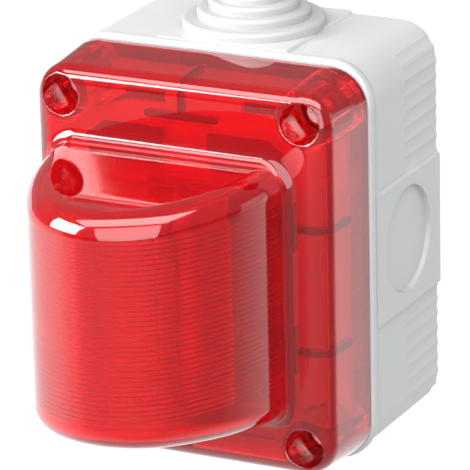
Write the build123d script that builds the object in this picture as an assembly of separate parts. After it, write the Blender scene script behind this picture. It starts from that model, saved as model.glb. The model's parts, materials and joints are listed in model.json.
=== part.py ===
from build123d import *
import math
import os

# Wall-mounted horn strobe: grey surface box, clear red cover with a D-shaped lens dome,
# a small horn driver that sounds through slots in the underside, and a xenon flash tube.
# Millimetres. Origin: centre of the flat back face, on the wall. +Z up, the front faces -Y.

# ---- driving dimensions ----------------------------------------------------------------
BOX_W, BOX_H, BOX_D = 66.0, 82.0, 33.0
BOX_R = 8.6
BACK_T = 2.5
WALL_INSET_FRONT = 0.5
WALL_INSET_REAR = 0.6
LIP_Y0, LIP_Y1 = -29.3, -31.2

PANEL_HALF = 13.9
TOP_PANEL_HALF = 14.3
PANEL_FRONT = -30.0
ENTRY_Y = -15.6
KNOCKOUT_R, KNOCKOUT_DEPTH = 10.85, 1.0
GROOVE_PITCH, GROOVE_DEPTH = 3.1, 0.24
GROOVE_FRONT = -15.6

COVER_W, COVER_H, COVER_R = 65.2, 80.0, 7.9
COVER_REAR = -33.15
COVER_FRONT = -49.6
COVER_WALL = 2.2
COVER_DRAFT = 4.6
COVER_EDGE_R = 3.2
RIB_REAR = -38.6

DOME_X = -2.3
DOME_DEPTH = 36.5
DOME_NOSE_R, DOME_NOSE_DEG, DOME_SIDE_R = 18.6, 55.0, 54.0
DOME_TOP, DOME_TOP_FALL = 24.3, 0.047
DOME_BOTTOM, DOME_BOTTOM_RISE = -27.6, 0.1
DOME_TOP_R, DOME_BOTTOM_R, DOME_ROOT_R = 4.7, 4.2, 2.4

SCREW_X, SCREW_Z = 25.6, 33.0
WELL_R, WELL_FLOOR = 3.95, -37.4
WELL_BOSS_R = 5.3
INSERT_R, INSERT_Y0, INSERT_Y1 = 2.5, -22.0, -31.0

PCB_Y0, PCB_Y1 = -10.0, -11.6
PCB_HALF_W, PCB_HALF_H = 23.4, 31.5
PCB_POST_X, PCB_POST_Z = 20.0, 28.0
CARRIER_Y0, CARRIER_Y1 = -36.5, -38.0
CARRIER_POST_X, CARRIER_POST_Z = 26.8, 17.0
WALL_SLOT_X, WALL_SLOT_Z = 20.0, 20.0

TRAY_HALF_W, TRAY_TOP, TRAY_BOTTOM, TRAY_FRONT = 21.0, 28.0, -29.0, -46.9
TRAY_T, MASK_T = 1.5, 1.5
TONGUE_REAR, TONGUE_FRONT = -44.2, -45.4
TONGUE_Z = (23.0, -24.5)
LEAD_REACH = 19.15
TUBE_Y, TUBE_R = -53.0, 2.0
REFLECTOR_VERTEX_Y, REFLECTOR_HALF_W, REFLECTOR_CURVE = -47.6, 15.6, 22.0
REFLECTOR_TOP, REFLECTOR_BOTTOM = 20.4, -22.2

HORN_Y = -24.0
DRIVER_R, DRIVER_Z0, DRIVER_Z1 = 10.0, -6.0, 8.0
MOUTH_R, MOUTH_Z = 10.4, -37.6

TERMINAL_PITCH = 5.08
DIP_PITCH = 2.54


# ---- small helpers ---------------------------------------------------------------------
def block(x0, x1, y0, y1, z0, z1):
    size = (abs(x1 - x0), abs(y1 - y0), abs(z1 - z0))
    return Pos((x0 + x1) / 2, (y0 + y1) / 2, (z0 + z1) / 2) * Box(*size)


def rod_y(x, z, r, y0, y1):
    return Pos(x, (y0 + y1) / 2, z) * Rot(90, 0, 0) * Cylinder(r, abs(y1 - y0))


def rod_z(x, y, r, z0, z1):
    return Pos(x, y, (z0 + z1) / 2) * Cylinder(r, abs(z1 - z0))


def rod_x(y, z, r, x0, x1):
    return Pos((x0 + x1) / 2, y, z) * Rot(0, 90, 0) * Cylinder(r, abs(x1 - x0))


def ring_z(x, y, r_out, r_in, z0, z1):
    return rod_z(x, y, r_out, z0, z1) - rod_z(x, y, r_in, z0 - 1, z1 + 1)


def rounded_face(w, h, r, y):
    return Plane.XZ.offset(-y) * RectangleRounded(w, h, r)


def rounded_prism(w, h, r, y0, y1, taper=0.0):
    return extrude(rounded_face(w, h, r, y0), amount=abs(y0 - y1), taper=taper)


def four_corners(x, z):
    return [(sx * x, sz * z) for sx in (-1, 1) for sz in (-1, 1)]


def one_solid(shape):
    solids = sorted(shape.solids(), key=lambda s: s.volume)
    return solids[-1]


def save(node, shape):
    shape.label = node
    export_step(shape, "parts/" + node + ".step")


# ---- grey back box ---------------------------------------------------------------------
def box_outer():
    rear = rounded_face(BOX_W - 2 * WALL_INSET_REAR, BOX_H - 2 * WALL_INSET_REAR, BOX_R - 1, 0)
    front_w = BOX_W - 2 * WALL_INSET_FRONT
    front_h = BOX_H - 2 * WALL_INSET_FRONT
    front = rounded_face(front_w, front_h, BOX_R - 0.5, -BOX_D)
    body = loft([rear, front])
    flare = loft([
        rounded_face(front_w - 0.1, front_h - 0.1, BOX_R - 0.5, LIP_Y0),
        rounded_face(BOX_W, BOX_H, BOX_R, LIP_Y1),
    ])
    lip = rounded_prism(BOX_W, BOX_H, BOX_R, LIP_Y1, -BOX_D)
    lip = fillet(lip.edges().group_by(Axis.Y)[0], 0.9)
    return body + flare + lip


def scallop_cutters():
    """Shallow flutes that run front to back over the rear half of the side walls and corners."""
    half_w = BOX_W / 2 - WALL_INSET_REAR
    half_h = BOX_H / 2 - WALL_INSET_REAR
    chord_r = GROOVE_PITCH ** 2 / (8 * GROOVE_DEPTH) + GROOVE_DEPTH / 2
    reach = chord_r - GROOVE_DEPTH
    corner_r = BOX_R - 1
    places = []
    for k in range(6):
        z = 15.7 + GROOVE_PITCH * k
        places += [(half_w + reach, z), (half_w + reach, -z)]
    for k in range(2):
        a = math.radians(10.5 + 23 * k)
        x = half_w - corner_r + (corner_r + reach) * math.cos(a)
        z = half_h - corner_r + (corner_r + reach) * math.sin(a)
        places += [(x, z), (x, -z)]
    places += [(-x, z) for x, z in places]
    return [rod_y(x, z, chord_r, 1.0, GROOVE_FRONT) for x, z in places]


def raised_panels():
    """The four flat entry panels, one on each side wall, with a fine bevel all round."""
    side = block(30.8, BOX_W / 2, 0, PANEL_FRONT, -PANEL_HALF, PANEL_HALF)
    side = chamfer(side.edges().filter_by(Axis.Y).group_by(Axis.X)[-1], 0.45)
    top = block(-TOP_PANEL_HALF, TOP_PANEL_HALF, 0, PANEL_FRONT, 38.8, BOX_H / 2)
    top = chamfer(top.edges().filter_by(Axis.Y).group_by(Axis.Z)[-1], 0.45)
    return [side, side.mirror(Plane.YZ), top, top.mirror(Plane.XY)]


def back_box():
    body = box_outer() - scallop_cutters()
    for panel in raised_panels():
        body += panel
    cavity = loft([
        rounded_face(BOX_W - 6.6, BOX_H - 6.6, BOX_R - 2.6, -BACK_T),
        rounded_face(BOX_W - 5.4, BOX_H - 5.4, BOX_R - 2.4, -BOX_D),
    ])
    body -= cavity + rounded_prism(BOX_W - 5.4, BOX_H - 5.4, BOX_R - 2.4, -BOX_D + 0.1, -BOX_D - 2)
    for x, z in four_corners(SCREW_X, SCREW_Z):
        web = block(x, x + math.copysign(5.0, x), -BACK_T, INSERT_Y1, z - 1.2, z + 1.2)
        post = rod_y(x, z, 4.0, -BACK_T + 0.5, INSERT_Y1) + web
        rib = block(x - 1.2, x + 1.2, -BACK_T, INSERT_Y1, z, z + math.copysign(6.0, z))
        body += post + rib
    for x, z in four_corners(PCB_POST_X, PCB_POST_Z):
        body += rod_y(x, z, 2.6, -BACK_T + 0.5, PCB_Y0)
    for x, z in four_corners(CARRIER_POST_X, CARRIER_POST_Z):
        body += rod_y(x, z, 2.6, -BACK_T + 0.5, CARRIER_Y0)
    holes = [rod_y(x, z, INSERT_R, INSERT_Y0, INSERT_Y1 - 1) for x, z in four_corners(SCREW_X, SCREW_Z)]
    holes += [rod_y(x, z, 1.7, INSERT_Y0 + 4, INSERT_Y0 - 1) for x, z in four_corners(SCREW_X, SCREW_Z)]
    holes += [rod_y(x, z, 1.2, -4.0, PCB_Y0 - 1) for x, z in four_corners(PCB_POST_X, PCB_POST_Z)]
    holes += [rod_y(x, z, 1.2, -26.0, CARRIER_Y0 - 1) for x, z in four_corners(CARRIER_POST_X, CARRIER_POST_Z)]
    holes += wall_slots()
    holes += [
        rod_x(ENTRY_Y, 0.5, KNOCKOUT_R, BOX_W / 2 - KNOCKOUT_DEPTH, BOX_W / 2 + 2),
        rod_x(ENTRY_Y, 0.5, KNOCKOUT_R, -BOX_W / 2 + KNOCKOUT_DEPTH, -BOX_W / 2 - 2),
        rod_z(0, ENTRY_Y, KNOCKOUT_R, 36.0, 44.0),
    ]
    holes += sound_slots()
    body -= holes
    body -= gasket_ring(64.2, 80.2, 61.4, 77.4, -BOX_D + 1.2, -BOX_D - 0.5)
    return one_solid(body)


def wall_slots():
    """Four wall-fixing slots, 4.6 mm wide and 8 mm long, through the back."""
    slots = []
    for x, z in four_corners(WALL_SLOT_X, WALL_SLOT_Z):
        slots.append(extrude(Plane.XZ.offset(-1) * Pos(x, z) * SlotOverall(8.0, 4.6), amount=5))
    return slots


def sound_slots():
    """Horn outlet: five slots through the underside, below the horn's mouth."""
    slots = []
    for k in range(-2, 3):
        plane = Plane.XY.offset(-43)
        slot = plane * Pos(4.2 * k, HORN_Y) * Rot(0, 0, 90) * SlotOverall(16.0 - 1.5 * abs(k), 2.2)
        slots.append(extrude(slot, amount=7))
    return slots


# ---- seals and the cable entry ---------------------------------------------------------
def gasket_ring(w_out, h_out, w_in, h_in, y0, y1):
    outer = rounded_prism(w_out, h_out, BOX_R - 0.9, y0, y1)
    inner = rounded_prism(w_in, h_in, BOX_R - 2.3, y0 + 1, y1 - 1)
    return outer - inner


def box_gasket():
    return one_solid(gasket_ring(64.1, 80.1, 61.5, 77.5, -BOX_D + 1.2, COVER_REAR))


def cable_grommet():
    """Stepped membrane grommet: each ring is cut away to suit a thicker cable."""
    steps = [(14.3, 41.0, 42.9), (11.3, 42.0, 44.8), (9.0, 44.0, 46.6), (6.8, 46.0, 48.2), (4.7, 47.5, 49.6)]
    body = rod_z(0, ENTRY_Y, KNOCKOUT_R - 0.05, 38.0, 41.5) + rod_z(0, ENTRY_Y, 12.2, 36.2, 37.65)
    for r, z0, z1 in steps:
        ring = rod_z(0, ENTRY_Y, r, z0, z1)
        body += fillet(ring.edges().group_by(Axis.Z)[-1], 0.8)
    hollow = [(9.4, 36.0, 41.6), (9.9, 41.4, 43.4), (7.7, 43.2, 45.2), (5.6, 45.0, 46.9), (3.6, 46.7, 48.6)]
    for r, z0, z1 in hollow:
        body -= rod_z(0, ENTRY_Y, r, z0, z1)
    return one_solid(body)


# ---- clear red cover -------------------------------------------------------------------
def dome_plan(inset):
    """D-shaped plan: a round nose that runs into two slightly bowed sides."""
    a = math.radians(DOME_NOSE_DEG)
    centre_y = COVER_FRONT - DOME_DEPTH + DOME_NOSE_R
    bow = DOME_SIDE_R - DOME_NOSE_R
    side_x, side_y = -bow * math.sin(a), centre_y + bow * math.cos(a)
    nose_r, side_r = DOME_NOSE_R - inset, DOME_SIDE_R - inset
    base_y = COVER_FRONT + 1.2
    base_x = side_x + math.sqrt(side_r ** 2 - (base_y - side_y) ** 2)
    b = (a + math.atan2(base_x - side_x, side_y - base_y)) / 2
    tx, ty = nose_r * math.sin(a), centre_y - nose_r * math.cos(a)
    mid_x, mid_y = side_x + side_r * math.sin(b), side_y - side_r * math.cos(b)
    outline = [
        ThreePointArc((DOME_X - base_x, base_y), (DOME_X - mid_x, mid_y), (DOME_X - tx, ty)),
        ThreePointArc((DOME_X - tx, ty), (DOME_X, centre_y - nose_r), (DOME_X + tx, ty)),
        ThreePointArc((DOME_X + tx, ty), (DOME_X + mid_x, mid_y), (DOME_X + base_x, base_y)),
        Line((DOME_X + base_x, base_y), (DOME_X - base_x, base_y)),
    ]
    return make_face(Wire(outline))


def dome_side(inset, y_rear):
    """Side profile in the YZ plane: the top falls and the underside rises to the front."""
    front = COVER_FRONT - DOME_DEPTH - 5
    reach_rear = y_rear - COVER_FRONT
    reach_front = front - COVER_FRONT
    top_rear = DOME_TOP - inset + DOME_TOP_FALL * reach_rear
    top_front = DOME_TOP - inset + DOME_TOP_FALL * reach_front
    low_rear = DOME_BOTTOM + inset - DOME_BOTTOM_RISE * reach_rear
    low_front = DOME_BOTTOM + inset - DOME_BOTTOM_RISE * reach_front
    outline = Polyline(
        (y_rear, top_rear), (front, top_front), (front, low_front), (y_rear, low_rear), close=True)
    return extrude(Plane.YZ * make_face(outline), amount=40, both=True)


def dome_block(inset):
    prism = extrude(Plane.XY.offset(-40) * dome_plan(inset), amount=80)
    body = prism & dome_side(inset, COVER_FRONT + 1.2)
    rims = [e for e in body.edges() if e.center().Y < COVER_FRONT + 1.0 and abs(e.center().Z) > 15]
    top_rim = [e for e in rims if e.center().Z > 0 and abs(e.tangent_at(0.5).Z) < 0.5]
    low_rim = [e for e in rims if e.center().Z < 0 and abs(e.tangent_at(0.5).Z) < 0.5]
    body = fillet(top_rim, DOME_TOP_R - inset)
    low_rim = [
        e for e in body.edges()
        if e.center().Z < -15 and e.center().Y < COVER_FRONT + 1.0 and abs(e.tangent_at(0.5).Z) < 0.5]
    return fillet(low_rim, DOME_BOTTOM_R - inset)


def cover_shell():
    outer = rounded_prism(COVER_W, COVER_H, COVER_R, COVER_REAR, COVER_FRONT, COVER_DRAFT)
    outer = fillet(outer.edges().group_by(Axis.Y)[0], COVER_EDGE_R)
    outer += dome_block(0.0)
    root = [
        e for e in outer.edges()
        if abs(e.center().Y - COVER_FRONT) < 0.05 and abs(e.center().X - DOME_X) < 23
        and -28.5 < e.center().Z < 26.5]
    outer = fillet(root, DOME_ROOT_R)
    w = COVER_W - 2 * COVER_WALL
    h = COVER_H - 2 * COVER_WALL
    inner_front = COVER_FRONT + COVER_WALL
    inner = rounded_prism(w, h, COVER_R - 1.6, COVER_REAR, inner_front, COVER_DRAFT)
    inner = fillet(inner.edges().group_by(Axis.Y)[0], 1.2)
    inner += rounded_prism(w, h, COVER_R - 1.6, COVER_REAR + 1, COVER_REAR)
    hollow = dome_block(COVER_WALL)
    throat = extrude(hollow.faces().sort_by(Axis.Y)[-1], amount=4.0)
    return outer - inner - hollow - throat


def cover_bosses():
    bosses = []
    for x, z in four_corners(SCREW_X, SCREW_Z):
        boss = rod_y(x, z, WELL_BOSS_R, COVER_REAR, COVER_FRONT + 1.0)
        bosses.append(boss & rounded_prism(COVER_W - 1, COVER_H - 1, COVER_R, COVER_REAR, COVER_FRONT + 1, COVER_DRAFT))
    return bosses


def t_rib(x, z, angle, half_bar, skirt):
    """Low T-shaped stiffener behind the front plate; its stem turns back along the skirt.
    skirt is how far the skirt's inner face is from the bar."""
    y0 = COVER_FRONT + COVER_WALL
    bar = block(-half_bar, half_bar, y0 + 1.6, y0 - 0.4, -0.6, 0.6)
    leg = block(-0.6, 0.6, y0 + 1.6, y0 - 0.4, 0, skirt)
    fin = block(-0.6, 0.6, RIB_REAR, y0 - 0.4, skirt - 0.9, skirt + 0.7)
    return Pos(x, 0, z) * Rot(0, angle, 0) * (bar + leg + fin)


def front_cover():
    body = cover_shell()
    for boss in cover_bosses():
        body += boss
    body += t_rib(0, 31.2, 0, 7.7, 5.7)
    body += t_rib(0, -32.0, 180, 7.7, 4.9)
    for z in (11.6, -13.4):
        body += t_rib(22.8, z, 90, 4.8, 6.7)
        body += t_rib(-25.9, z, -90, 4.8, 3.6)
    for x, z in four_corners(SCREW_X, SCREW_Z):
        body -= rod_y(x, z, WELL_R, WELL_FLOOR, COVER_FRONT - 1)
        body -= rod_y(x, z, 1.75, COVER_REAR + 1, WELL_FLOOR - 1)
    return one_solid(body)


def cover_screw(x, z):
    head = rod_y(x, z, 2.95, WELL_FLOOR - 0.7, WELL_FLOOR - 3.1)
    head = fillet(head.edges().group_by(Axis.Y)[0], 0.7)
    shaft = rod_y(x, z, 1.45, WELL_FLOOR - 0.8, -24.0)
    shaft = chamfer(shaft.edges().group_by(Axis.Y)[-1], 0.4)
    top = WELL_FLOOR - 3.1
    cross = block(x - 2.0, x + 2.0, top + 1.3, top - 1, z - 0.42, z + 0.42)
    cross += block(x - 0.42, x + 0.42, top + 1.3, top - 1, z - 2.0, z + 2.0)
    return one_solid(head + shaft - cross)


def screw_seals():
    seals = []
    for x, z in four_corners(SCREW_X, SCREW_Z):
        seals.append(rod_y(x, z, 3.2, WELL_FLOOR, WELL_FLOOR - 0.65) - rod_y(x, z, 1.7, WELL_FLOOR + 1, WELL_FLOOR - 2))
    return Compound(children=[one_solid(s) for s in seals])


def threaded_inserts():
    inserts = []
    for x, z in four_corners(SCREW_X, SCREW_Z):
        sleeve = rod_y(x, z, INSERT_R - 0.02, INSERT_Y0, INSERT_Y1)
        waist = rod_y(x, z, INSERT_R + 1, -26.0, -27.0) - rod_y(x, z, INSERT_R - 0.4, -25.0, -28.0)
        bore = rod_y(x, z, 1.52, INSERT_Y0 + 1, INSERT_Y1 - 1)
        inserts.append(one_solid(sleeve - waist - bore))
    return Compound(children=inserts)


# ---- fixings shared by the inner frame and the board ---------------------------------------
def pan_screws(places, seat_y, reach_y, head_r, shank_r):
    screws = []
    for x, z in places:
        head = rod_y(x, z, head_r, seat_y, seat_y - 1.5)
        head = fillet(head.edges().group_by(Axis.Y)[0], 0.6)
        shank = rod_y(x, z, shank_r, seat_y - 0.5, reach_y)
        slot = block(x - head_r, x + head_r, seat_y - 0.8, seat_y - 2, z - 0.3, z + 0.3)
        screws.append(one_solid(head + shank - slot))
    return Compound(children=screws)


# ---- white inner frame, strobe tray and its black mask ------------------------------------
def carrier():
    plate = rounded_prism(57.6, 72.4, 6.0, CARRIER_Y0, CARRIER_Y1)
    plate -= block(-19.6, 19.6, -30, -40, TRAY_BOTTOM + 2, TRAY_TOP - 2)
    for x, z in four_corners(SCREW_X, SCREW_Z):
        plate -= rod_y(x, z, WELL_BOSS_R + 0.5, -30, -40)
    for side in (-1, 1):
        vent = Polyline((8.2, 31.8), (16.2, 31.8), (20.0, 29.4), (20.0, 28.9), (16.2, 30.2), (8.2, 30.2), close=True)
        cut = extrude(Plane.XZ.offset(30) * make_face(vent), amount=10)
        plate -= cut if side > 0 else cut.mirror(Plane.YZ)
    for x, z in four_corners(CARRIER_POST_X, CARRIER_POST_Z):
        plate -= rod_y(x, z, 1.3, -30, -40)
    return one_solid(plate)


def tray_outline():
    """Tray outline with cropped upper corners."""
    crop_x, crop_z = 3.4, 2.6
    return make_face(Polyline(
        (-TRAY_HALF_W, TRAY_BOTTOM), (TRAY_HALF_W, TRAY_BOTTOM), (TRAY_HALF_W, TRAY_TOP - crop_z),
        (TRAY_HALF_W - crop_x, TRAY_TOP), (-TRAY_HALF_W + crop_x, TRAY_TOP),
        (-TRAY_HALF_W, TRAY_TOP - crop_z), close=True))


def strobe_tray():
    """White tray that holds the reflector, with a notch for the reflector's tongue."""
    face = tray_outline()
    front = TRAY_FRONT + MASK_T
    body = extrude(Plane.XZ.offset(-CARRIER_Y1) * face, amount=CARRIER_Y1 - front)
    pocket = offset(face, -TRAY_T)
    body -= extrude(Plane.XZ.offset(-CARRIER_Y1 + TRAY_T) * pocket, amount=12)
    body -= block(-5.15, 5.15, TONGUE_REAR + 0.2, -50, TRAY_TOP - 4, TRAY_TOP + 1)
    for z in TONGUE_Z:
        body += rod_y(0, z, 2.6, CARRIER_Y1 - 1, TONGUE_REAR)
        body -= rod_y(0, z, 1.0, -40.5, -46)
    mid = tube_middle()
    body -= [rod_y(DOME_X, mid + s * LEAD_REACH, 1.2, -30, -42) for s in (-1, 1)]
    return one_solid(body)


def strobe_mask():
    """Black frame on the front of the tray, notched for the reflector's tongue."""
    plate = extrude(Plane.XZ.offset(-TRAY_FRONT - MASK_T) * tray_outline(), amount=MASK_T)
    edge = TRAY_HALF_W - 1.7
    plate -= block(-edge, edge, -40, -50, TRAY_BOTTOM + 1.7, TRAY_TOP - 4)
    plate -= block(-5.15, 5.15, -40, -50, TRAY_TOP - 5, TRAY_TOP + 1)
    return one_solid(plate)


def reflector_y(x):
    return REFLECTOR_VERTEX_Y - x * x / REFLECTOR_CURVE


def reflector():
    """Bright trough with a parabolic section, end plates and two fixing tongues."""
    half = REFLECTOR_HALF_W
    steps = [half * k / 4 for k in range(-4, 5)]
    inside = Spline([(DOME_X + x, reflector_y(x)) for x in steps])
    open_edge = reflector_y(half)
    outer = Polyline(
        (DOME_X + half, open_edge), (DOME_X + half + 1, open_edge), (DOME_X + half + 1, TONGUE_REAR),
        (DOME_X - half - 1, TONGUE_REAR), (DOME_X - half - 1, open_edge), (DOME_X - half, open_edge))
    trough = extrude(
        Plane.XY.offset(REFLECTOR_BOTTOM) * make_face([inside, outer]),
        amount=REFLECTOR_TOP - REFLECTOR_BOTTOM)
    for x0 in (DOME_X - half, DOME_X + half - 7):
        trough -= block(x0, x0 + 7, TONGUE_REAR + 1, -50.0, REFLECTOR_BOTTOM, REFLECTOR_TOP)
    for z in (REFLECTOR_BOTTOM, REFLECTOR_TOP - 1):
        trough += block(DOME_X - half - 1, DOME_X + half + 1, TONGUE_REAR, open_edge, z, z + 1)
    upper = block(-5.0, 5.0, TONGUE_REAR, TONGUE_FRONT, REFLECTOR_TOP - 2, 29.2)
    lower = block(-4.0, 4.0, TONGUE_REAR, TONGUE_FRONT, -27.0, REFLECTOR_BOTTOM + 2)
    body = trough + upper + lower
    body -= [rod_y(0, z, 1.3, -43, -48) for z in TONGUE_Z]
    mid = tube_middle()
    body -= [rod_y(DOME_X, mid + s * LEAD_REACH, 0.65, -43, -51) for s in (-1, 1)]
    return one_solid(body)


def tube_middle():
    return (REFLECTOR_TOP + REFLECTOR_BOTTOM) / 2


def flash_tube():
    mid = tube_middle()
    glass = rod_z(DOME_X, TUBE_Y, TUBE_R, mid - 16, mid + 16)
    return one_solid(glass - rod_z(DOME_X, TUBE_Y, TUBE_R - 0.5, mid - 15, mid + 15))


def tube_caps():
    mid = tube_middle()
    caps = []
    for s in (-1, 1):
        sleeve = rod_z(DOME_X, TUBE_Y, TUBE_R + 0.35, mid + s * 13.0, mid + s * 17.2)
        bore = rod_z(DOME_X, TUBE_Y, TUBE_R + 0.01, mid + s * 12.0, mid + s * 16.0)
        caps.append(one_solid(sleeve - bore))
    return Compound(children=caps)


def tube_leads():
    mid = tube_middle()
    leads = []
    for s in (-1, 1):
        z = mid + s * LEAD_REACH
        up = rod_z(DOME_X, TUBE_Y, 0.45, mid + s * 17.2, z)
        back = rod_y(DOME_X, z, 0.45, TUBE_Y, -36.0)
        elbow = Pos(DOME_X, TUBE_Y, z) * Sphere(0.45)
        leads.append(one_solid(up + back + elbow))
    return Compound(children=leads)


def trigger_band():
    mid = tube_middle()
    edge = DOME_X + TUBE_R
    body = block(edge + 0.1, edge + 0.45, TUBE_Y - 0.4, TUBE_Y + 0.4, mid - 9, mid + 9)
    for k in (-1, 0, 1):
        z = mid + 8.8 * k
        body += ring_z(DOME_X, TUBE_Y, TUBE_R + 0.4, TUBE_R + 0.02, z - 0.3, z + 0.3)
    return one_solid(body)


# ---- horn and its driver ------------------------------------------------------------------
def horn_trumpet():
    """Flared horn that points down: throat at the driver, mouth over the sound slots."""
    throat_z = DRIVER_Z0
    length = throat_z - MOUTH_Z
    growth = math.log(MOUTH_R / 3.2) / length

    def radius(k, extra):
        return 3.2 * math.exp(growth * length * k / 5) + extra

    levels = [(k, throat_z - length * k / 5) for k in range(6)]
    outer = Spline([(radius(k, 1.2), z) for k, z in levels])
    inner = Spline([(radius(k, 0.0), z) for k, z in levels])
    rim = Line((radius(5, 0.0), MOUTH_Z), (radius(5, 1.2), MOUTH_Z))
    neck = Line((radius(0, 0.0), throat_z), (radius(0, 1.2), throat_z))
    section = Plane.XZ * make_face([outer, rim, inner, neck])
    flared = revolve(section, Axis.Z)
    collar = ring_z(0, 0, 6.0, 3.25, throat_z - 1.6, throat_z)
    mouth_rim = ring_z(0, 0, MOUTH_R + 1.3, MOUTH_R - 0.1, MOUTH_Z, MOUTH_Z + 1.2)
    foot = block(-13.5, 13.5, 9.0, 12.2, MOUTH_Z + 3, MOUTH_Z + 4.5) - rod_z(0, 0, MOUTH_R, MOUTH_Z, MOUTH_Z + 6)
    return one_solid(Pos(0, HORN_Y, 0) * (flared + collar + mouth_rim + foot))


def driver_housing():
    cup = rod_z(0, HORN_Y, DRIVER_R, DRIVER_Z0, DRIVER_Z1)
    cup -= rod_z(0, HORN_Y, DRIVER_R - 1.1, DRIVER_Z0 + 1.5, DRIVER_Z1 + 1)
    cup -= rod_z(0, HORN_Y, 3.2, DRIVER_Z0 - 1, DRIVER_Z0 + 2)
    seat = ring_z(0, HORN_Y, DRIVER_R - 1.0, DRIVER_R - 2.0, DRIVER_Z0 + 1.4, -2.75)
    foot = block(-4, 4, HORN_Y + 9.2, PCB_Y1, -4, 6) - rod_z(0, HORN_Y, DRIVER_R - 0.5, -8, 10)
    return one_solid(cup + seat + foot)


def driver_front_plate():
    return one_solid(ring_z(0, HORN_Y, DRIVER_R - 1.12, 5.3, 0.4, 1.8))


def driver_magnet():
    return one_solid(ring_z(0, HORN_Y, DRIVER_R - 1.5, 5.9, 1.8, 5.0))


def driver_yoke():
    return one_solid(rod_z(0, HORN_Y, DRIVER_R - 1.12, 5.0, 6.4) + rod_z(0, HORN_Y, 3.9, 0.4, 5.1))


def driver_cap():
    lid = rod_z(0, HORN_Y, DRIVER_R, DRIVER_Z1, DRIVER_Z1 + 1.3)
    lid = fillet(lid.edges().group_by(Axis.Z)[-1], 0.6)
    return one_solid(lid + ring_z(0, HORN_Y, DRIVER_R - 1.12, DRIVER_R - 2.2, 6.4, DRIVER_Z1 + 0.5))


def diaphragm():
    """Thin domed diaphragm with its coil former, free to travel in the gap."""
    disc = rod_z(0, HORN_Y, 8.6, -2.2, -1.9)
    former = ring_z(0, HORN_Y, 4.8, 4.4, -1.95, 2.2)
    return one_solid(disc + former)


# ---- circuit board and what is on it -------------------------------------------------------
def circuit_board():
    board = rounded_prism(2 * PCB_HALF_W, 2 * PCB_HALF_H, 1.5, PCB_Y0, PCB_Y1)
    for x, z in four_corners(SCREW_X, SCREW_Z):
        board -= rod_y(x, z, 5.4, -5, -15)
    board -= [rod_y(x, z, 1.3, -5, -15) for x, z in four_corners(PCB_POST_X, PCB_POST_Z)]
    return one_solid(board)


def terminal_x(k):
    return (k - 1.5) * TERMINAL_PITCH


TERMINAL_Z0, TERMINAL_Z1 = 15.5, 24.0
TERMINAL_TOP_Y = PCB_Y1 - 10.2


def terminal_block():
    body = block(-10.4, 10.4, PCB_Y1, TERMINAL_TOP_Y, TERMINAL_Z0, TERMINAL_Z1)
    body = chamfer(body.edges().filter_by(Axis.X).group_by(Axis.Y)[0], 0.8)
    for k in range(4):
        x = terminal_x(k)
        body -= block(x - 1.95, x + 1.95, PCB_Y1 - 1.5, PCB_Y1 - 6.4, TERMINAL_Z0 + 1.5, TERMINAL_Z1 + 1)
        body -= rod_y(x, 19.6, 1.95, PCB_Y1 - 6, TERMINAL_TOP_Y - 1)
    return one_solid(body)


def terminal_cages():
    cages = []
    for k in range(4):
        x = terminal_x(k)
        cage = block(x - 1.9, x + 1.9, PCB_Y1 - 1.55, PCB_Y1 - 6.35, 17.1, 22.6)
        cage -= block(x - 1.4, x + 1.4, PCB_Y1 - 2.1, PCB_Y1 - 5.5, 16, 24)
        cage -= rod_y(x, 19.6, 1.25, PCB_Y1 - 5, PCB_Y1 - 8)
        cages.append(one_solid(cage))
    return Compound(children=cages)


def terminal_screw(k):
    x = terminal_x(k)
    head = rod_y(x, 19.6, 1.8, PCB_Y1 - 6.8, PCB_Y1 - 9.2)
    shank = rod_y(x, 19.6, 1.18, PCB_Y1 - 4.2, PCB_Y1 - 7.0)
    slot = block(x - 2, x + 2, PCB_Y1 - 8.4, PCB_Y1 - 10, 19.3, 19.9)
    return one_solid(head + shank - slot)


DIP_X0, DIP_Z0 = 12.4, 2.0
DIP_TOP_Y = PCB_Y1 - 3.6


def dip_x(k):
    return DIP_X0 + 1.27 + DIP_PITCH * k


def dip_body():
    body = block(DIP_X0, DIP_X0 + 4 * DIP_PITCH, PCB_Y1, DIP_TOP_Y, DIP_Z0, DIP_Z0 + 6.6)
    for k in range(4):
        body -= block(dip_x(k) - 0.65, dip_x(k) + 0.65, DIP_TOP_Y + 1.4, DIP_TOP_Y - 1, DIP_Z0 + 1.8, DIP_Z0 + 4.8)
    return one_solid(body)


def dip_slider(k):
    x = dip_x(k)
    base = block(x - 0.58, x + 0.58, DIP_TOP_Y + 1.35, DIP_TOP_Y + 0.2, DIP_Z0 + 1.9, DIP_Z0 + 3.4)
    knob = block(x - 0.58, x + 0.58, DIP_TOP_Y + 0.3, DIP_TOP_Y - 0.9, DIP_Z0 + 2.1, DIP_Z0 + 3.2)
    return one_solid(base + knob)


TRIMMER_X, TRIMMER_Z = 17.0, -5.5


def trimmer_body():
    body = block(TRIMMER_X - 3.6, TRIMMER_X + 3.6, PCB_Y1, PCB_Y1 - 4.6, TRIMMER_Z - 3.6, TRIMMER_Z + 3.6)
    body = chamfer(body.edges().filter_by(Axis.Y), 0.6)
    return one_solid(body - rod_y(TRIMMER_X, TRIMMER_Z, 2.55, PCB_Y1 - 3.2, PCB_Y1 - 6))


def trimmer_rotor():
    body = rod_y(TRIMMER_X, TRIMMER_Z, 2.45, PCB_Y1 - 3.25, PCB_Y1 - 5.2)
    slot = block(TRIMMER_X - 1.9, TRIMMER_X + 1.9, PCB_Y1 - 4.4, PCB_Y1 - 6, TRIMMER_Z - 0.35, TRIMMER_Z + 0.35)
    arrow = block(TRIMMER_X - 0.35, TRIMMER_X + 0.35, PCB_Y1 - 4.4, PCB_Y1 - 6, TRIMMER_Z, TRIMMER_Z + 1.9)
    return one_solid(body - slot - arrow)


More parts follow.
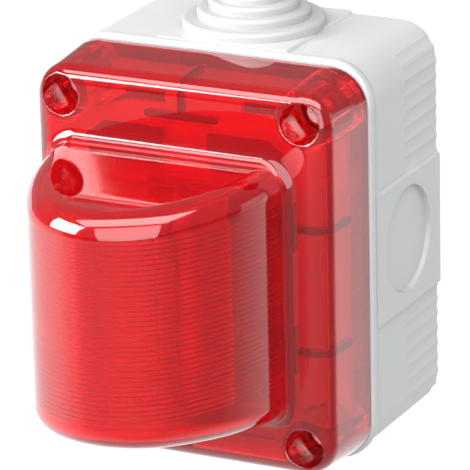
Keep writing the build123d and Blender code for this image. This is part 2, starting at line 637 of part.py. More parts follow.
def flash_capacitor():
    can = rod_z(-17.0, PCB_Y1 - 5.9, 5.8, -16.0, 7.0)
    can = fillet(can.edges().group_by(Axis.Z)[-1], 0.9)
    can = fillet(can.edges().group_by(Axis.Z)[0], 0.5)
    groove = ring_z(-17.0, PCB_Y1 - 5.9, 6.5, 5.4, -13.4, -12.6)
    return one_solid(can - groove)


def capacitor_leads():
    leads = []
    for x in (-19.5, -14.5):
        down = rod_z(x, PCB_Y1 - 5.9, 0.4, -18.5, -16.0)
        back = rod_y(x, -18.5, 0.4, PCB_Y1 - 5.9, PCB_Y1)
        elbow = Pos(x, PCB_Y1 - 5.9, -18.5) * Sphere(0.4)
        leads.append(one_solid(down + back + elbow))
    return Compound(children=leads)


TRIGGER_X, TRIGGER_Z = 17.4, -16.5


def trigger_core():
    core = block(TRIGGER_X - 4.8, TRIGGER_X + 4.8, PCB_Y1, PCB_Y1 - 8.0, TRIGGER_Z - 4.6, TRIGGER_Z + 4.6)
    window = block(TRIGGER_X - 3.4, TRIGGER_X + 3.4, PCB_Y1 - 1.4, PCB_Y1 - 6.6, TRIGGER_Z - 6, TRIGGER_Z + 6)
    limb = block(TRIGGER_X - 1.1, TRIGGER_X + 1.1, PCB_Y1 - 1, PCB_Y1 - 7, TRIGGER_Z - 4.6, TRIGGER_Z + 4.6)
    return one_solid(core - window + limb)


def trigger_winding():
    coil = block(TRIGGER_X - 3.3, TRIGGER_X + 3.3, PCB_Y1 - 1.5, PCB_Y1 - 6.5, TRIGGER_Z - 3.9, TRIGGER_Z + 3.9)
    slot = block(TRIGGER_X - 1.15, TRIGGER_X + 1.15, PCB_Y1 - 1, PCB_Y1 - 7, TRIGGER_Z - 6, TRIGGER_Z + 6)
    halves = (coil - slot).solids()
    return Compound(children=list(halves))


def boost_inductor():
    base = rod_y(-16.5, 14.5, 4.2, PCB_Y1, PCB_Y1 - 1.2) + rod_y(-16.5, 14.5, 4.2, PCB_Y1 - 4.6, PCB_Y1 - 5.8)
    return one_solid(base + rod_y(-16.5, 14.5, 1.8, PCB_Y1 - 1, PCB_Y1 - 5))


def inductor_winding():
    coil = rod_y(-16.5, 14.5, 3.7, PCB_Y1 - 1.2, PCB_Y1 - 4.6)
    return one_solid(coil - rod_y(-16.5, 14.5, 1.8, PCB_Y1, PCB_Y1 - 6))


def control_chip():
    body = block(13.5, 18.5, PCB_Y1 - 0.15, PCB_Y1 - 1.65, 10.8, 14.6)
    return one_solid(chamfer(body.edges().group_by(Axis.Y)[0], 0.3))


def chip_legs():
    legs = []
    for k in range(4):
        x = 14.1 + 1.27 * k
        for z0, z1 in ((10.1, 11.0), (14.4, 15.3)):
            legs.append(one_solid(block(x - 0.2, x + 0.2, PCB_Y1, PCB_Y1 - 0.15, z0, z1)))
    return Compound(children=legs)


def resistors():
    chips = []
    for x, z in ((14.0, 22.0), (14.0, 19.8), (14.0, 17.6), (-14.0, 24.2), (-14.0, 22.0)):
        chips.append(one_solid(block(x - 1.0, x + 1.0, PCB_Y1, PCB_Y1 - 0.6, z - 0.6, z + 0.6)))
    return Compound(children=chips)


# ---- write every node -------------------------------------------------------------------
def main():
    os.makedirs("parts", exist_ok=True)
    save("back_box", back_box())
    save("box_gasket", box_gasket())
    save("cable_grommet", cable_grommet())
    save("threaded_inserts", threaded_inserts())
    save("front_cover", front_cover())
    save("screw_seals", screw_seals())
    for k, (x, z) in enumerate(four_corners(SCREW_X, SCREW_Z)):
        save("cover_screw_" + str(k + 1), cover_screw(x, z))
    save("carrier", carrier())
    posts = four_corners(CARRIER_POST_X, CARRIER_POST_Z)
    save("carrier_screws", pan_screws(posts, CARRIER_Y1, -28.0, 2.3, 1.18))
    save("strobe_tray", strobe_tray())
    save("strobe_mask", strobe_mask())
    save("reflector", reflector())
    save("reflector_screws", pan_screws([(0, z) for z in TONGUE_Z], TONGUE_FRONT, -41.0, 1.9, 0.98))
    save("flash_tube", flash_tube())
    save("tube_caps", tube_caps())
    save("tube_leads", tube_leads())
    save("trigger_band", trigger_band())
    save("horn_trumpet", horn_trumpet())
    save("driver_housing", driver_housing())
    save("driver_front_plate", driver_front_plate())
    save("driver_magnet", driver_magnet())
    save("driver_yoke", driver_yoke())
    save("driver_cap", driver_cap())
    save("diaphragm", diaphragm())
    save("circuit_board", circuit_board())
    board_posts = four_corners(PCB_POST_X, PCB_POST_Z)
    save("board_screws", pan_screws(board_posts, PCB_Y1, -5.0, 2.3, 1.18))
    save("terminal_block", terminal_block())
    save("terminal_cages", terminal_cages())
    save("dip_body", dip_body())
    for k in range(4):
        save("terminal_screw_" + str(k + 1), terminal_screw(k))
        save("dip_slider_" + str(k + 1), dip_slider(k))
    save("trimmer_body", trimmer_body())
    save("trimmer_rotor", trimmer_rotor())
    save("flash_capacitor", flash_capacitor())
    save("capacitor_leads", capacitor_leads())
    save("trigger_core", trigger_core())
    save("trigger_winding", trigger_winding())
    save("boost_inductor", boost_inductor())
    save("inductor_winding", inductor_winding())
    save("control_chip", control_chip())
    save("chip_legs", chip_legs())
    save("resistors", resistors())


main()
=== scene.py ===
import json
import math

import bpy
import numpy as np
from mathutils import Matrix, Vector

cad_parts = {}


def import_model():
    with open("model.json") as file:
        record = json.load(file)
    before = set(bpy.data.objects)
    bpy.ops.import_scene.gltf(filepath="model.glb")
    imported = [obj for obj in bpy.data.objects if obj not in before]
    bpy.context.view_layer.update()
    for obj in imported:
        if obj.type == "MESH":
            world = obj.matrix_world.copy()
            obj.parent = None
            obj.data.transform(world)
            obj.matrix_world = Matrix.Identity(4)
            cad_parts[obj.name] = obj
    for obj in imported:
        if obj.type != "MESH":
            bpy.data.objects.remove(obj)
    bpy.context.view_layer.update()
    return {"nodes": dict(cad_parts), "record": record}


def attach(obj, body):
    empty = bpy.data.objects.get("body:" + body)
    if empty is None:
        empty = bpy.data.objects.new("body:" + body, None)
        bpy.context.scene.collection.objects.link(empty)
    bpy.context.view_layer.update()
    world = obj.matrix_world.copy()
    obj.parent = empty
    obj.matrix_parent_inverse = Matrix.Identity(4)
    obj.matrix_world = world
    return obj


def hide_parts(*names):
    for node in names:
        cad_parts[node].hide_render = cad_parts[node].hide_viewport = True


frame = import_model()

MM = 0.001


# ------------------------------------------------------------------ materials
# Noise scales are features a metre and grain heights are metres.

NOISE_LOW, NOISE_HIGH = 0.3, 0.7
METAL_GRAIN, METAL_GRAIN_HEIGHT = 1500, 0.000004
RED_IOR, COAT_IOR, COAT_ROUGHNESS = 1.57, 1.5, 0.02
GLASS_IOR = 1.47


def new_material(name):
    """A material with one Principled shader, its node tree and that shader."""
    mat = bpy.data.materials.new(name)
    mat.use_nodes = True
    nt = mat.node_tree
    nt.nodes.clear()
    out = nt.nodes.new("ShaderNodeOutputMaterial")
    shader = nt.nodes.new("ShaderNodeBsdfPrincipled")
    nt.links.new(shader.outputs[0], out.inputs["Surface"])
    return mat, nt, shader


def object_noise(nt, scale, detail=3.0, roughness=0.5, stretch=(1, 1, 1)):
    """Noise in the object's own coordinates, at a scale in features a metre."""
    place = nt.nodes.new("ShaderNodeTexCoord")
    mapping = nt.nodes.new("ShaderNodeMapping")
    mapping.inputs["Scale"].default_value = stretch
    noise = nt.nodes.new("ShaderNodeTexNoise")
    noise.inputs["Scale"].default_value = scale
    noise.inputs["Detail"].default_value = detail
    noise.inputs["Roughness"].default_value = roughness
    nt.links.new(place.outputs["Object"], mapping.inputs["Vector"])
    nt.links.new(mapping.outputs["Vector"], noise.inputs["Vector"])
    return noise.outputs["Fac"]


def spread(nt, source, low, high):
    """The source's middle range mapped onto low..high."""
    node = nt.nodes.new("ShaderNodeMapRange")
    node.inputs["From Min"].default_value = NOISE_LOW
    node.inputs["From Max"].default_value = NOISE_HIGH
    node.inputs["To Min"].default_value = low
    node.inputs["To Max"].default_value = high
    nt.links.new(source, node.inputs["Value"])
    return node.outputs["Result"]


def tinted(nt, source, dark, light):
    """The source's middle range as a colour from dark to light."""
    ramp = nt.nodes.new("ShaderNodeValToRGB")
    ramp.color_ramp.elements[0].position = NOISE_LOW
    ramp.color_ramp.elements[1].position = NOISE_HIGH
    ramp.color_ramp.elements[0].color = (*dark, 1)
    ramp.color_ramp.elements[1].color = (*light, 1)
    nt.links.new(source, ramp.inputs["Fac"])
    return ramp.outputs["Color"]


def bumped(nt, shader, source, height):
    """The shader's normal, raised by the source to a height in metres."""
    bump = nt.nodes.new("ShaderNodeBump")
    bump.inputs["Strength"].default_value = 1.0
    bump.inputs["Distance"].default_value = height
    nt.links.new(source, bump.inputs["Height"])
    nt.links.new(bump.outputs["Normal"], shader.inputs["Normal"])


def shade(colour, factor):
    return tuple(c * factor for c in colour)


def plastic(name, colour, rough, grain=4000, grain_height=0.00001, variation=0.03):
    """Moulded plastic: a fine spark-eroded grain and slow changes of shine and tone."""
    mat, nt, shader = new_material(name)
    slow = object_noise(nt, 60, 4)
    fine = object_noise(nt, grain, 2)
    nt.links.new(tinted(nt, slow, shade(colour, 1 - variation), shade(colour, 1 + variation)),
                 shader.inputs["Base Color"])
    nt.links.new(spread(nt, slow, rough - 0.05, rough + 0.05), shader.inputs["Roughness"])
    bumped(nt, shader, fine, grain_height)
    return mat


def metal(name, colour, rough, stretch=(1, 1, 1)):
    """Plated metal with a fine drawn or rolled texture."""
    mat, nt, shader = new_material(name)
    fine = object_noise(nt, METAL_GRAIN, 3, 0.6, stretch)
    slow = object_noise(nt, 150, 3)
    nt.links.new(tinted(nt, slow, shade(colour, 0.88), colour), shader.inputs["Base Color"])
    nt.links.new(spread(nt, fine, rough * 0.75, rough * 1.3), shader.inputs["Roughness"])
    shader.inputs["Metallic"].default_value = 1.0
    bumped(nt, shader, fine, METAL_GRAIN_HEIGHT)
    return mat


def clear_red(name, tint, rough, clarity):
    """Red polycarbonate under a polished skin; clarity 1 is fully clear."""
    mat, nt, shader = new_material(name)
    slow = object_noise(nt, 90, 3)
    nt.links.new(tinted(nt, slow, shade(tint, 0.94), tint), shader.inputs["Base Color"])
    nt.links.new(spread(nt, slow, rough, rough + 0.03), shader.inputs["Roughness"])
    shader.inputs["Transmission Weight"].default_value = clarity
    shader.inputs["IOR"].default_value = RED_IOR
    shader.inputs["Coat Weight"].default_value = 1.0
    shader.inputs["Coat Roughness"].default_value = COAT_ROUGHNESS
    shader.inputs["Coat IOR"].default_value = COAT_IOR
    return mat


def clear_glass():
    """Hard glass of the flash tube."""
    mat, nt, shader = new_material("flash_glass")
    shader.inputs["Base Color"].default_value = (0.96, 0.97, 0.98, 1)
    shader.inputs["Transmission Weight"].default_value = 1.0
    shader.inputs["IOR"].default_value = GLASS_IOR
    slow = object_noise(nt, 200, 3)
    nt.links.new(spread(nt, slow, 0.01, 0.04), shader.inputs["Roughness"])
    return mat


MATERIALS = {
    "grey_plastic": plastic("box_grey_plastic", (0.53, 0.534, 0.538), 0.36),
    "grommet_plastic": plastic("grommet_plastic", (0.43, 0.434, 0.438), 0.45),
    "seal_rubber": plastic("seal_rubber", (0.42, 0.42, 0.42), 0.7, 2500, 0.00002, 0.1),
    "red_clear": clear_red("clear_red_polycarbonate", (1.0, 0.012, 0.025), 0.02, 0.84),
    # Stiffener material: rougher and less clear than the cover, with a dark tint that is painted
    # shade on the ribs.
    "rib_red": clear_red("rough_red_polycarbonate_painted_shade", (0.10, 0.006, 0.012), 0.45, 0.3),
    "white_plastic": plastic("carrier_white_plastic", (0.92, 0.92, 0.91), 0.42),
    "black_plastic": plastic("black_plastic", (0.025, 0.025, 0.027), 0.4, 3500, 0.00001, 0.1),
    "reflector_metal": metal("reflector_metal", (0.86, 0.87, 0.88), 0.38),
    "glass": clear_glass(),
    "steel": metal("zinc_steel", (0.72, 0.72, 0.70), 0.26),
    "brass": metal("brass", (0.78, 0.58, 0.26), 0.3),
    "nickel": metal("tinned_copper", (0.75, 0.74, 0.70), 0.25),
    "pcb": plastic("board_green", (0.02, 0.16, 0.06), 0.35, 2500, 0.00001, 0.15),
    "terminal_green": plastic("terminal_green", (0.03, 0.32, 0.12), 0.4),
    "blue_plastic": plastic("switch_blue", (0.02, 0.10, 0.45), 0.38),
    "ferrite": plastic("ferrite", (0.045, 0.045, 0.05), 0.55, 3000, 0.00002, 0.15),
    "copper": metal("enamelled_copper", (0.72, 0.30, 0.12), 0.3, (1, 1, 6)),
    "sleeve": plastic("capacitor_sleeve", (0.03, 0.03, 0.10), 0.32),
    "film": plastic("diaphragm_film", (0.65, 0.52, 0.30), 0.35),
}

slot_of = {part["node"]: part["material_slot"] for part in frame["record"]["subparts"]}
for name, obj in frame["nodes"].items():
    mat = MATERIALS[slot_of[name]]
    if not obj.data.materials:
        obj.data.materials.append(mat)
    for s in obj.material_slots:
        s.material = mat


# ------------------------------------------------------------------ clear cover
# The cover is one closed wall of clear plastic. It is described by a signed distance field in
# millimetres, negative inside the plastic, and meshed by surface nets on an uneven grid.

COVER_REAR, COVER_FRONT, COVER_WALL = -33.15, -49.6, 2.2
DRAFT = math.radians(4.6)
DOME_X, DOME_DEPTH = -2.3, 36.5
NOSE_R, NOSE_ANGLE, SIDE_R = 18.6, math.radians(55.0), 54.0
DOME_TOP, TOP_FALL = 24.3, 0.047
DOME_BOTTOM, BOTTOM_RISE = -27.6, 0.1
TOP_R, BOTTOM_R, ROOT_R = 4.7, 4.2, 2.4
SCREW_X, SCREW_Z = 25.6, 33.0
WELL_R, WELL_FLOOR, BOSS_R = 3.95, -37.4, 5.3
RIB_PITCH, RIB_DEPTH, RIB_FADE = 1.0, 0.2, 0.6
RIB_TOP, RIB_BOTTOM = 17.6, -19.4

# The skirt's plan: where its corners are centred, and their radius at the rear, outside and inside.
OUTER_X, OUTER_Z, OUTER_R = 24.7, 32.1, 7.9
INNER_X, INNER_Z, INNER_R = 24.1, 31.5, 6.3
OUTER_EDGE_R, INNER_EDGE_R, REAR_EDGE_R = 3.2, 1.2, 0.25
LENS_LAP, LENS_ROOM_LAP = 1.2, 0.5
GROOVE_START, GROOVE_FADE = 0.6, 0.8
BOSS_LAP, BOSS_BLEND_R, SMALL_R, SCREW_HOLE_R = 0.5, 0.5, 0.3, 1.75

# T stiffeners: half thickness, edge radius and the heights of the side rows; then the skirt
# stems' middle and half length in Y, and how far they stand in from the skirt, halved.
BAR_HALF, BAR_EDGE_R, BAR_ROWS_Z = 0.6, 0.2, (11.6, -13.4)
STEM_Y, STEM_HALF_Y, STEM_HALF = -43.5, 4.9, 1.0
STIFFENER_SKIN = 0.12

# Grid runs: start, end and spacing, finest where the shape turns.
GRID_X = (-33.3, -15, 0.4), (-15, 12, 0.7), (12, 33.3, 0.4)
GRID_Y = ((-86.9, -80, 0.45), (-80, -53, 0.7), (-53, -44.5, 0.3), (-44.5, -34.2, 0.8),
          (-34.2, -32.7, 0.3))
GRID_Z = ((-40.6, RIB_BOTTOM - 1, 0.35), (RIB_BOTTOM - 1, RIB_TOP + 1, RIB_PITCH / 6),
          (RIB_TOP + 1, 40.6, 0.35))
GRADIENT_STEP, GRADIENT_FLOOR = 0.01, 0.05
SETTLE_ROUNDS, SETTLE_REACH = 3, 0.25


def rounded_max(a, b, r):
    """Intersection whose outside corner has radius r."""
    inside = np.minimum(np.maximum(a, b) + r, 0)
    corner = np.hypot(np.maximum(a + r, 0), np.maximum(b + r, 0))
    return inside + corner - r


def rounded_min(a, b, r):
    """Union whose inside corner has radius r."""
    outside = np.maximum(np.minimum(a, b) - r, 0)
    corner = np.hypot(np.maximum(r - a, 0), np.maximum(r - b, 0))
    return outside - corner + r


def rounded_outline(x, z, core_x, core_z, r):
    """Distance from a rounded rectangle whose corners are centred on the core's."""
    qx, qz = np.abs(x) - core_x, np.abs(z) - core_z
    outside = np.hypot(np.maximum(qx, 0), np.maximum(qz, 0))
    return outside + np.minimum(np.maximum(qx, qz), 0) - r


def dome_plan(x, y):
    """Distance from the dome's plan: a round nose that runs into two slightly bowed sides."""
    bow = SIDE_R - NOSE_R
    px, py = np.abs(x - DOME_X), y - (COVER_FRONT - DOME_DEPTH + NOSE_R)
    nose = np.hypot(px, py) - NOSE_R
    side = np.hypot(px + bow * math.sin(NOSE_ANGLE), py - bow * math.cos(NOSE_ANGLE)) - SIDE_R
    return np.where(np.arctan2(px, -py) < NOSE_ANGLE, nose, side)


def ribs(z):
    """Depth of the fine prism grooves inside the dome, which fade out at both ends."""
    up, down = (RIB_TOP - z) / RIB_FADE, (z - RIB_BOTTOM) / RIB_FADE
    ends = np.clip(up, 0, 1) * np.clip(down, 0, 1)
    return ends * RIB_DEPTH * (0.5 - 0.5 * np.cos(2 * np.pi * (z - RIB_BOTTOM) / RIB_PITCH))


def dome(x, y, z, inset, grooves):
    """Distance from the lens dome moved in by inset, with grooves cut outwards into its wall."""
    reach = y - COVER_FRONT
    top = (z - DOME_TOP - TOP_FALL * reach) / math.hypot(1, TOP_FALL)
    low = (DOME_BOTTOM - BOTTOM_RISE * reach - z) / math.hypot(1, BOTTOM_RISE)
    plan = dome_plan(x, y) - grooves
    upper = rounded_max(plan + inset, top + inset, TOP_R - inset)
    lower = rounded_max(plan + inset, low + inset, BOTTOM_R - inset)
    return np.where(z > 0, upper, lower)


def box_distance(x, y, z, middle, half, r):
    """Distance from a box with rounded edges."""
    q = [np.abs(v - m) - h + r for v, m, h in zip((x, y, z), middle, half)]
    outside = np.sqrt(sum(np.maximum(v, 0) ** 2 for v in q))
    return outside + np.minimum(np.maximum(np.maximum(q[0], q[1]), q[2]), 0) - r


def stiffeners(x, y, z):
    """Low T ribs behind the front plate; each stem turns back along the skirt."""
    on_plate = (COVER_FRONT + COVER_WALL + BAR_HALF, 1.0)
    on_skirt = (STEM_Y, STEM_HALF_Y)
    parts = []
    for cx, cz, half_x, half_z in ((0, 31.2, 7.7, BAR_HALF), (0, -32.0, 7.7, BAR_HALF),
                                   (0, 34.3, BAR_HALF, 3.0), (0, -34.7, BAR_HALF, 2.7)):
        parts.append((cx, cz, half_x, half_z, *on_plate))
    for cz in BAR_ROWS_Z:
        parts.append((22.8, cz, BAR_HALF, 4.8, *on_plate))
        parts.append((-25.9, cz, BAR_HALF, 4.8, *on_plate))
        parts.append((25.9, cz, 3.0, BAR_HALF, *on_plate))
        parts.append((-27.4, cz, 1.7, BAR_HALF, *on_plate))
    for side in (-1, 1):
        parts.append((0, side * 36.8, BAR_HALF, STEM_HALF, *on_skirt))
        for cz in BAR_ROWS_Z:
            parts.append((side * 29.4, cz, STEM_HALF, BAR_HALF, *on_skirt))
    shape = None
    for cx, cz, half_x, half_z, cy, half_y in parts:
        d = box_distance(x, y, z, (cx, cy, cz), (half_x, half_y, half_z), BAR_EDGE_R)
        shape = d if shape is None else np.minimum(shape, d)
    return shape


def cover_field(x, y, z):
    """Distance from the whole cover: skirt, front plate, lens dome, screw wells and stiffeners."""
    taper = (COVER_REAR - y) * math.tan(DRAFT)
    slant = math.cos(DRAFT)
    side = rounded_outline(x, z, OUTER_X, OUTER_Z, OUTER_R - taper) * slant
    plate = rounded_max(side, COVER_FRONT - y, OUTER_EDGE_R)
    lens = np.maximum(dome(x, y, z, 0.0, 0.0), y - COVER_FRONT - LENS_LAP)
    outer = rounded_min(plate, lens, ROOT_R)
    room_side = rounded_outline(x, z, INNER_X, INNER_Z, INNER_R - taper) * slant
    room = rounded_max(room_side, COVER_FRONT + COVER_WALL - y, INNER_EDGE_R)
    grooves = ribs(z) * np.clip((COVER_FRONT - GROOVE_START - y) / GROOVE_FADE, 0, 1)
    lens_room = np.maximum(dome(x, y, z, COVER_WALL, grooves),
                           y - COVER_FRONT - COVER_WALL - LENS_ROOM_LAP)
    room = rounded_min(room, lens_room, SMALL_R)
    wall = np.maximum(outer, -room)
    well = np.hypot(np.abs(x) - SCREW_X, np.abs(z) - SCREW_Z)
    boss = rounded_max(well - BOSS_R, plate + BOSS_LAP, SMALL_R)
    body = rounded_min(wall, boss, BOSS_BLEND_R)
    body = rounded_min(body, stiffeners(x, y, z), SMALL_R)
    body = rounded_max(body, -np.maximum(well - WELL_R, y - WELL_FLOOR), SMALL_R)
    body = np.maximum(body, SCREW_HOLE_R - well)
    return rounded_max(body, y - COVER_REAR, REAR_EDGE_R)


def steps(*runs):
    """Grid lines through runs of (start, end, spacing)."""
    lines = [np.linspace(a, b, max(1, round((b - a) / s)), endpoint=False) for a, b, s in runs]
    return np.append(np.concatenate(lines), runs[-1][1])


def surface_net(field, xs, ys, zs):
    """Points and quads of the field's zero surface, one point in each cell that it crosses."""
    value = np.empty((len(xs), len(ys), len(zs)), np.float32)
    for i, x in enumerate(xs):
        value[i] = field(np.float32(x), ys[:, None], zs[None, :])
    inside = value < 0
    n = inside[:-1, :-1, :-1].astype(np.int8)
    for i, j, k in ((1, 0, 0), (0, 1, 0), (0, 0, 1), (1, 1, 0), (1, 0, 1), (0, 1, 1), (1, 1, 1)):
        n = n + inside[i:n.shape[0] + i, j:n.shape[1] + j, k:n.shape[2] + k]
    cells = np.argwhere((n > 0) & (n < 8))
    index = np.full(n.shape, -1, np.int64)
    index[tuple(cells.T)] = np.arange(len(cells))
    lines = (xs, ys, zs)
    total = np.zeros((len(cells), 3))
    count = np.zeros(len(cells))
    for axis in range(3):
        u, v = [a for a in range(3) if a != axis]
        for du in (0, 1):
            for dv in (0, 1):
                a = cells.copy()
                a[:, u] += du
                a[:, v] += dv
                b = a.copy()
                b[:, axis] += 1
                va, vb = value[tuple(a.T)], value[tuple(b.T)]
                cross = (va < 0) != (vb < 0)
                t = np.where(cross, va / np.where(cross, va - vb, 1), 0)
                p = np.stack([lines[c][a[:, c]] for c in range(3)], 1).astype(float)
                p[:, axis] += t * (lines[axis][b[:, axis]] - lines[axis][a[:, axis]])
                total[cross] += p[cross]
                count[cross] += 1
    points = total / count[:, None]
    quads = []
    for axis in range(3):
        u, v = (axis + 1) % 3, (axis + 2) % 3
        near = [slice(None)] * 3
        far = [slice(None)] * 3
        near[axis], far[axis] = slice(0, -1), slice(1, None)
        a, b = inside[tuple(near)], inside[tuple(far)]
        edge = np.argwhere(a != b)
        edge = edge[(edge[:, u] > 0) & (edge[:, v] > 0)]
        starts = inside[tuple(edge.T)]
        corner = []
        for du, dv in ((1, 1), (0, 1), (0, 0), (1, 0)):
            c = edge.copy()
            c[:, u] -= du
            c[:, v] -= dv
            corner.append(index[tuple(c.T)])
        quad = np.stack(corner, 1)
        quad[~starts] = quad[~starts][:, ::-1]
        quads.append(quad)
    return points, np.concatenate(quads)


def gradient(field, p):
    """The field's slope at each point, by central differences."""
    g = np.empty_like(p)
    for a in range(3):
        step = np.zeros(3)
        step[a] = GRADIENT_STEP
        g[:, a] = field(*(p + step).T) - field(*(p - step).T)
    return g / (2 * GRADIENT_STEP)


def settle(field, points):
    """Points moved onto the surface, with their outward normals."""
    start = points.copy()
    for _ in range(SETTLE_ROUNDS):
        g = gradient(field, points)
        size = np.maximum((g ** 2).sum(1), GRADIENT_FLOOR)
        points = points - g * (field(*points.T) / size)[:, None]
        points = start + np.clip(points - start, -SETTLE_REACH, SETTLE_REACH)
    g = gradient(field, points)
    return points, g / np.linalg.norm(g, axis=1)[:, None]


def lens_cover():
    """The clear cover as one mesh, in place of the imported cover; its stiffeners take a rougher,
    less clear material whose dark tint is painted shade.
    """
    points, quads = surface_net(cover_field, steps(*GRID_X), steps(*GRID_Y), steps(*GRID_Z))
    points, normals = settle(cover_field, points)
    mesh = bpy.data.meshes.new("lens_cover")
    mesh.vertices.add(len(points))
    mesh.vertices.foreach_set("co", (points * MM).astype(np.float32).ravel())
    mesh.loops.add(len(quads) * 4)
    mesh.loops.foreach_set("vertex_index", quads.astype(np.int32).ravel())
    mesh.polygons.add(len(quads))
    mesh.polygons.foreach_set("loop_start", np.arange(0, len(quads) * 4, 4, dtype=np.int32))
    mesh.update(calc_edges=True)
    mesh.validate()
    mesh.polygons.foreach_set("use_smooth", np.ones(len(mesh.polygons), bool))
    if len(mesh.vertices) == len(normals):
        mesh.normals_split_custom_set_from_vertices(normals.astype(np.float32))
    mesh.materials.append(MATERIALS["red_clear"])
    mesh.materials.append(MATERIALS["rib_red"])
    # Faces on the stiffeners get the dark material, which paints shade on the ribs.
    middles = points[quads].mean(1)
    on_rib = stiffeners(*middles.T) < STIFFENER_SKIN
    mesh.polygons.foreach_set("material_index", on_rib.astype(np.int32))
    obj = bpy.data.objects.new("lens_cover", mesh)
    bpy.context.scene.collection.objects.link(obj)
    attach(obj, "front_cover")
    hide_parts("front_cover")


lens_cover()


# ------------------------------------------------------------------ hook-up wires

WIRE_R = 0.5


def wire(name, slot, route):
    """Insulated wire from a lead or tag to the board, through points in millimetres."""
    data = bpy.data.curves.new(name, "CURVE")
    data.dimensions = "3D"
    data.bevel_depth = WIRE_R * MM
    data.bevel_resolution = 4
    data.resolution_u = 10
    data.use_fill_caps = True
    line = data.splines.new("NURBS")
    line.points.add(len(route) - 1)
    for point, place in zip(line.points, route):
        point.co = (*(v * MM for v in place), 1)
    line.order_u = 3
    line.use_endpoint_u = True
    data.materials.append(MATERIALS[slot])
    obj = bpy.data.objects.new(name, data)
    bpy.context.scene.collection.objects.link(obj)
    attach(obj, "back_box")


wire("tube_wire_upper", "white_plastic", [
    (-2.3, -36.2, 18.25), (-5, -33.5, 18.8), (-11.5, -28, 22), (-14.8, -20, 26),
    (-15, -11.6, 26.5)])
wire("tube_wire_lower", "black_plastic", [
    (-2.3, -36.9, -20.05), (-9, -36.9, -20.5), (-16, -36, -21.5), (-17, -28, -22.5),
    (-17.2, -18, -23.5), (-17.2, -11.6, -24)])
wire("horn_wire_inner", "black_plastic", [
    (3.5, -24, 9.2), (4.5, -23.5, 12), (7.5, -19, 13.2), (8.5, -14, 12.6), (8.5, -11.6, 12.4)])
wire("horn_wire_outer", "white_plastic", [
    (5.6, -24, 9.2), (6.8, -23.5, 11.4), (10, -19, 12.2), (10.9, -14, 11.6), (10.9, -11.6, 11.4)])


# ------------------------------------------------------------------ stage
# Metres from here on.

FLOOR_HALF, FLOOR_Z, FLOOR_GREY = 30.0, -0.40, 0.15
GLOW_WAY, GLOW_START, GLOW_END, GLOW_STRENGTH = (-0.8, 1.0, 0.0), -0.6, 0.3, 0.9
WORLD_STRENGTH = 0.22
AZIMUTH, ELEVATION, ROLL = 26.5076, 19.0821, -1.2755
CAMERA_AIM = (0, -0.033, 0)
CAMERA_BACK, CAMERA_RIGHT, CAMERA_UP = 0.85105, 0.0030325, 0.0022535
CAMERA_LENS, SENSOR_WIDTH, CLIP_END = 330.785, 36, 50
CLEAR_BOUNCES, GLOSSY_BOUNCES = 24, 8


def floor():
    """Floor that glows away from the camera, so that it is white behind the part, not under it."""
    mesh = bpy.data.meshes.new("floor")
    corners = ((-1, -1), (1, -1), (1, 1), (-1, 1))
    mesh.from_pydata([(x * FLOOR_HALF, y * FLOOR_HALF, FLOOR_Z) for x, y in corners], [],
                     [(0, 1, 2, 3)])
    obj = bpy.data.objects.new("floor", mesh)
    bpy.context.scene.collection.objects.link(obj)
    mat, nt, shader = new_material("pale_floor")
    shader.inputs["Base Color"].default_value = (FLOOR_GREY, FLOOR_GREY, FLOOR_GREY, 1)
    shader.inputs["Roughness"].default_value = 0.9
    shader.inputs["Emission Color"].default_value = (1, 1, 1, 1)
    place = nt.nodes.new("ShaderNodeTexCoord")
    across = nt.nodes.new("ShaderNodeVectorMath")
    across.operation = "DOT_PRODUCT"
    across.inputs[1].default_value = GLOW_WAY
    glow = nt.nodes.new("ShaderNodeMapRange")
    glow.inputs["From Min"].default_value = GLOW_START
    glow.inputs["From Max"].default_value = GLOW_END
    glow.inputs["To Min"].default_value = 0.0
    glow.inputs["To Max"].default_value = GLOW_STRENGTH
    nt.links.new(place.outputs["Object"], across.inputs[0])
    nt.links.new(across.outputs["Value"], glow.inputs["Value"])
    nt.links.new(glow.outputs["Result"], shader.inputs["Emission Strength"])
    mesh.materials.append(mat)


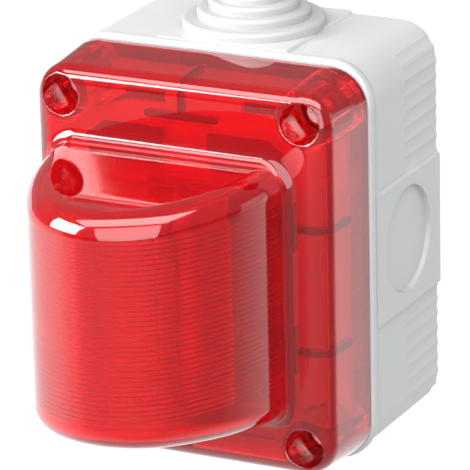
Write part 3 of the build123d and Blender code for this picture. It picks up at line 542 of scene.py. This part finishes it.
def softbox(name, place, aim, width, height, radiance):
    """Rectangular lamp at a place, facing its aim, as bright as its radiance at any size."""
    data = bpy.data.lights.new(name, "AREA")
    data.shape = "RECTANGLE"
    data.size = width
    data.size_y = height
    data.energy = radiance * math.pi * width * height
    obj = bpy.data.objects.new(name, data)
    bpy.context.scene.collection.objects.link(obj)
    look = (Vector(aim) - Vector(place)).to_track_quat("-Z", "Y")
    obj.matrix_world = Matrix.Translation(place) @ look.to_matrix().to_4x4()


def world():
    """Even white light from all round."""
    studio = bpy.data.worlds.new("studio")
    studio.use_nodes = True
    background = studio.node_tree.nodes["Background"]
    background.inputs["Color"].default_value = (1, 1, 1, 1)
    background.inputs["Strength"].default_value = WORLD_STRENGTH
    bpy.context.scene.world = studio


def camera():
    """Camera that sees the part as the photo does: right of the front and above it."""
    az, el, roll = (math.radians(a) for a in (AZIMUTH, ELEVATION, ROLL))
    back = Vector((math.sin(az) * math.cos(el), -math.cos(az) * math.cos(el), math.sin(el)))
    level_right = Vector((math.cos(az), math.sin(az), 0))
    level_up = back.cross(level_right)
    right = level_right * math.cos(roll) + level_up * math.sin(roll)
    up = level_up * math.cos(roll) - level_right * math.sin(roll)
    place = back * CAMERA_BACK + right * CAMERA_RIGHT + up * CAMERA_UP + Vector(CAMERA_AIM)
    data = bpy.data.cameras.new("camera")
    data.lens = CAMERA_LENS
    data.sensor_width = SENSOR_WIDTH
    data.clip_end = CLIP_END
    obj = bpy.data.objects.new("camera", data)
    bpy.context.scene.collection.objects.link(obj)
    turn = Matrix((right, up, back)).transposed().to_4x4()
    obj.matrix_world = Matrix.Translation(place) @ turn
    bpy.context.scene.camera = obj


floor()
world()
softbox("overhead", (0.2, -0.45, 1.35), (0, -0.04, 0), 2.4, 0.8, 4.1)
softbox("front_left", (-1.35, -1.15, 0.70), (0, -0.04, 0), 1.3, 1.2, 10.5)
softbox("front_right", (0.8, -1.55, 0.60), (0, -0.04, 0), 2.6, 2.0, 2.6)
softbox("right_rear", (1.5, 1.1, -0.1), (0, -0.03, 0), 0.9, 1.2, 0.6)
camera()
bpy.context.scene.view_settings.view_transform = "Standard"
bpy.context.scene.cycles.max_bounces = CLEAR_BOUNCES
bpy.context.scene.cycles.transmission_bounces = CLEAR_BOUNCES
bpy.context.scene.cycles.glossy_bounces = GLOSSY_BOUNCES
